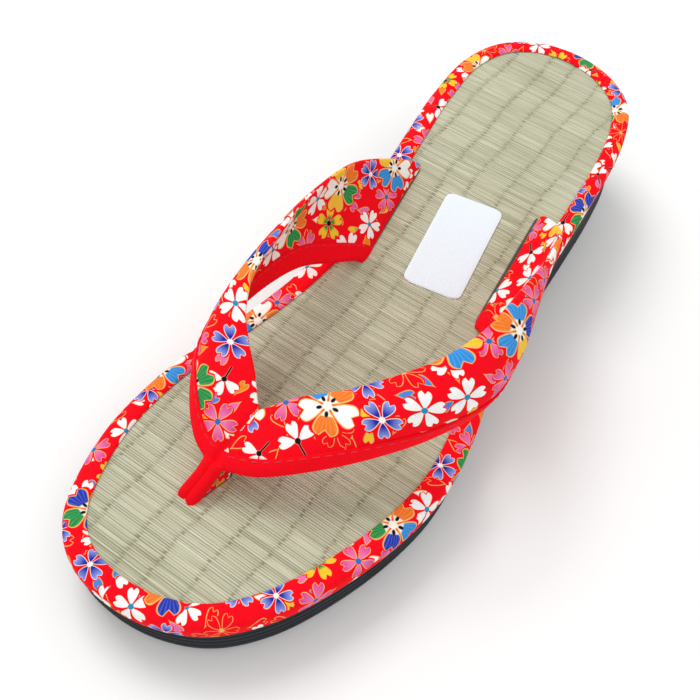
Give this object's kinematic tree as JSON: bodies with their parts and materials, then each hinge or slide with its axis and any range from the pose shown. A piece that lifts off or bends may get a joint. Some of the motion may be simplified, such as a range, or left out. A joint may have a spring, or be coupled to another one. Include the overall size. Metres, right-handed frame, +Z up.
{
  "type": "zori",
  "caption": "Left zori sandal with a woven rush footbed, red floral cloth binding and V strap, and a dark foam wedge sole.",
  "frame": {"origin": "on the floor, under the middle of the shoe's bounding box", "axes": "+X from heel to toe, +Y to the little-toe side of the left foot, +Z up"},
  "size_m": [0.2464, 0.0872, 0.0549],
  "materials": {
    "foam": "matte moulded foam",
    "rush": "woven rush",
    "binding_cloth": "printed cotton",
    "strap_cloth": "printed cotton",
    "label_cloth": "fine woven ribbon"
  },
  "bodies": {
    "root": {"outsole": "foam", "tatami_footbed": "rush", "edge_binding": "binding_cloth", "strap_upper": "strap_cloth", "footbed_label": "label_cloth"}
  },
  "joints": []
}
